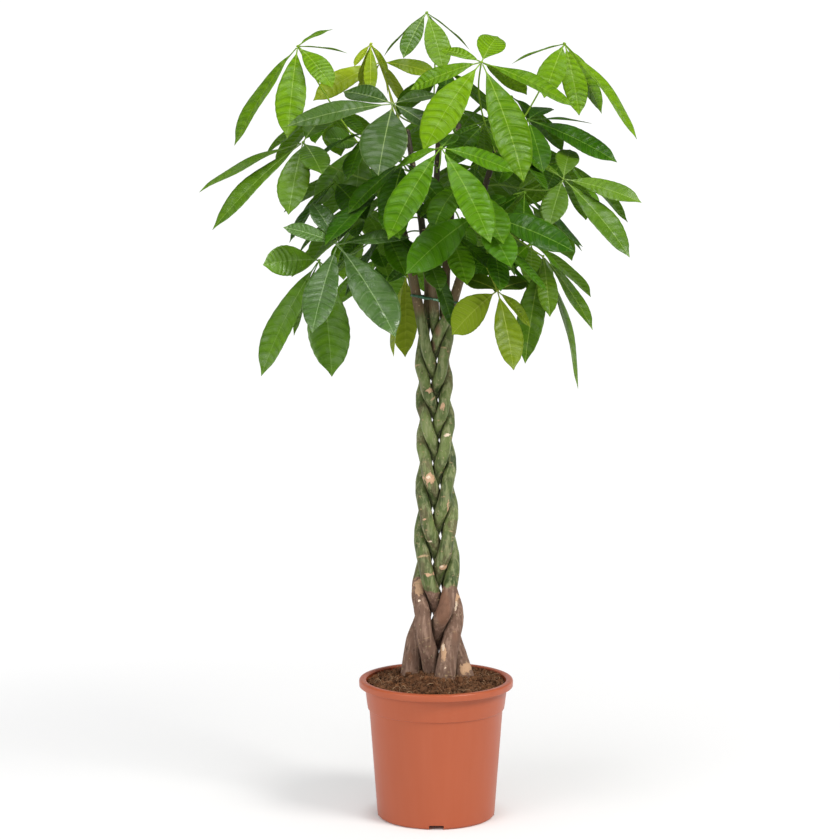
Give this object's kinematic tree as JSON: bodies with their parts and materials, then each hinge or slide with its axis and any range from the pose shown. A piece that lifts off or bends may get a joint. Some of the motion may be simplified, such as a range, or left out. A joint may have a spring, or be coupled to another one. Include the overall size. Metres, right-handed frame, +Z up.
{
  "type": "potted money tree",
  "caption": "Potted money tree: plaited green stems in a tapered nursery pot with soil, a tie at the plait's top and an open crown of palmate leaves.",
  "frame": {"origin": "centre of the pot's base, on the plane that the pot stands on", "axes": "+Z up along the plait, +X to the plant's right as seen from its front, +Y to its back"},
  "size_m": [0.66, 0.6202, 1.2423],
  "materials": {
    "pot": "satin terracotta-coloured polypropylene",
    "soil": "rough moist peat soil",
    "bark": "smooth green bark, grey-brown and corky near the soil",
    "tie": "glossy thin green band",
    "leaf_fresh": "semi-gloss fresh green leaf",
    "leaf_mid": "semi-gloss mid-green leaf",
    "leaf_dark": "semi-gloss dark green leaf",
    "leaf_young": "semi-gloss young yellow-green leaf",
    "leaf_olive": "semi-gloss olive-green leaf"
  },
  "bodies": {
    "root": {"pot": "pot", "soil": "soil", "stem_1": "bark", "stem_2": "bark", "stem_3": "bark", "stem_4": "bark", "stem_5": "bark", "tie": "tie", "leaf_01": "leaf_fresh", "leaf_02": "leaf_mid", "leaf_03": "leaf_mid", "leaf_04": "leaf_young", "leaf_05": "leaf_young", "leaf_06": "leaf_mid", "leaf_07": "leaf_fresh", "leaf_08": "leaf_fresh", "leaf_09": "leaf_fresh", "leaf_10": "leaf_mid", "leaf_11": "leaf_dark", "leaf_12": "leaf_dark", "leaf_13": "leaf_olive", "leaf_14": "leaf_mid", "leaf_15": "leaf_mid", "leaf_16": "leaf_mid", "leaf_17": "leaf_dark", "leaf_18": "leaf_dark", "leaf_19": "leaf_fresh", "leaf_20": "leaf_dark", "leaf_21": "leaf_mid", "leaf_22": "leaf_dark", "leaf_23": "leaf_fresh", "leaf_24": "leaf_dark", "leaf_25": "leaf_mid", "leaf_26": "leaf_dark", "leaf_27": "leaf_fresh", "leaf_28": "leaf_dark", "leaf_29": "leaf_mid", "leaf_30": "leaf_dark", "leaf_31": "leaf_fresh", "leaf_32": "leaf_dark", "leaf_33": "leaf_mid", "leaf_34": "leaf_dark", "leaf_35": "leaf_fresh", "leaf_36": "leaf_dark", "leaf_37": "leaf_mid", "leaf_38": "leaf_dark", "leaf_39": "leaf_fresh", "leaf_40": "leaf_dark", "leaf_41": "leaf_mid", "leaf_42": "leaf_dark", "leaf_43": "leaf_fresh", "leaf_44": "leaf_dark", "leaf_45": "leaf_mid", "leaf_46": "leaf_dark", "leaf_47": "leaf_fresh", "leaf_48": "leaf_dark", "leaf_49": "leaf_young"}
  },
  "joints": []
}
